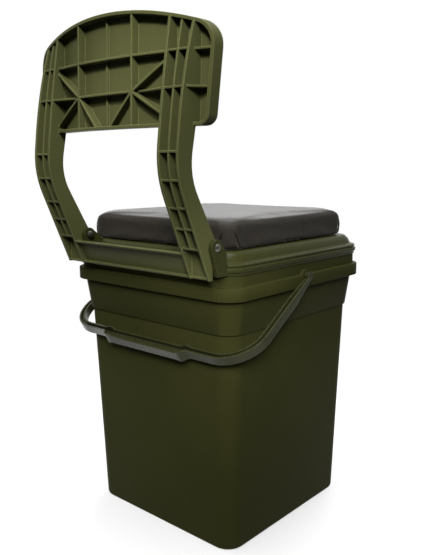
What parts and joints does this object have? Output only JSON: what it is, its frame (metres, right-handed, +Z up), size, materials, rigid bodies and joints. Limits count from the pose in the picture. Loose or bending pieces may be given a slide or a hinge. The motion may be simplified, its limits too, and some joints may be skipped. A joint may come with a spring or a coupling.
{
  "type": "fishing bucket seat",
  "caption": "Square moulded bait bucket with a bail handle and a push-on padded seat lid that carries a hinged, ribbed, curved backrest.",
  "frame": {"origin": "middle of the bucket's flat underside, which stands on the floor", "axes": "+Z up, the sitter faces -Y and the backrest is on the +Y side, X across the seat"},
  "size_m": [0.315, 0.3451, 0.6236],
  "materials": {
    "bucket_plastic": "satin olive moulding",
    "bail_plastic": "satin dark olive moulding",
    "lid_plastic": "satin olive moulding",
    "backrest_plastic": "satin olive moulding",
    "cover_fabric": "coated woven fabric, charcoal",
    "foam": "open-cell foam",
    "board": "bare board",
    "pin_steel": "bright steel",
    "screw_steel": "plated steel"
  },
  "bodies": {
    "bucket": {"bucket_body": "bucket_plastic"},
    "bail": {"bail_handle": "bail_plastic"},
    "lid": {"lid": "lid_plastic", "hinge_pin_left": "pin_steel", "hinge_pin_right": "pin_steel", "hinge_cap_left": "pin_steel", "hinge_cap_right": "pin_steel", "cushion_cover": "cover_fabric", "cushion_foam": "foam", "cushion_board": "board", "cushion_screw_1": "screw_steel", "cushion_screw_2": "screw_steel", "cushion_screw_3": "screw_steel", "cushion_screw_4": "screw_steel"},
    "backrest": {"backrest": "backrest_plastic"}
  },
  "joints": [
    {"name": "lid_lift", "type": "slide", "parent": "bucket", "child": "lid", "axis": [0, 0, 1], "range_m": [0, 0.15]},
    {"name": "backrest_fold", "type": "hinge", "parent": "lid", "child": "backrest", "pos_m": [0, 0.15072, 0.3743], "axis": [1, 0, 0], "range_deg": [0, 71]},
    {"name": "bail_swing", "type": "hinge", "parent": "bucket", "child": "bail", "pos_m": [0, 0, 0.326], "axis": [1, 0, 0], "range_deg": [0, 31]}
  ]
}
